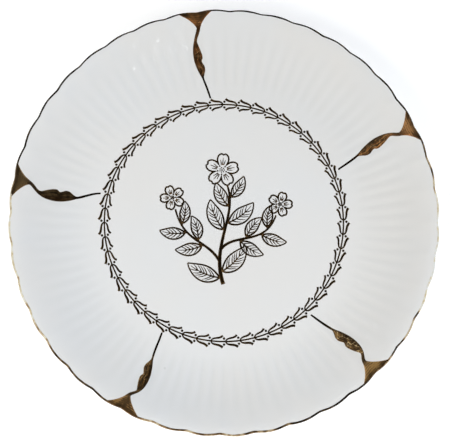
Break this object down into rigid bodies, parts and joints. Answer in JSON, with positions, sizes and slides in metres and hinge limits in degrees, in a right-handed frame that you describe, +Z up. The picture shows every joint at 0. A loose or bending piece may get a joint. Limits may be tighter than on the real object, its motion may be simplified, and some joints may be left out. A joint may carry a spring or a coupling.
{
  "type": "salad plate",
  "caption": "Round porcelain salad plate with a flat well, a shallow fluted wall, a scalloped edge and a foot ring.",
  "frame": {"origin": "middle of the foot ring's underside, on the plate's axis and on the surface that it stands on", "axes": "+Z up along the plate's axis, +Y towards the top of the picture painted in the well, +X to its right"},
  "size_m": [0.2056, 0.2056, 0.0218],
  "materials": {
    "porcelain": "white porcelain under a smooth, clear glaze",
    "gilding": "thin burnished gold, dark where it mirrors nothing bright; for the painted ring, sprig, edge line and seams"
  },
  "bodies": {
    "root": {"plate": "porcelain"}
  },
  "joints": []
}
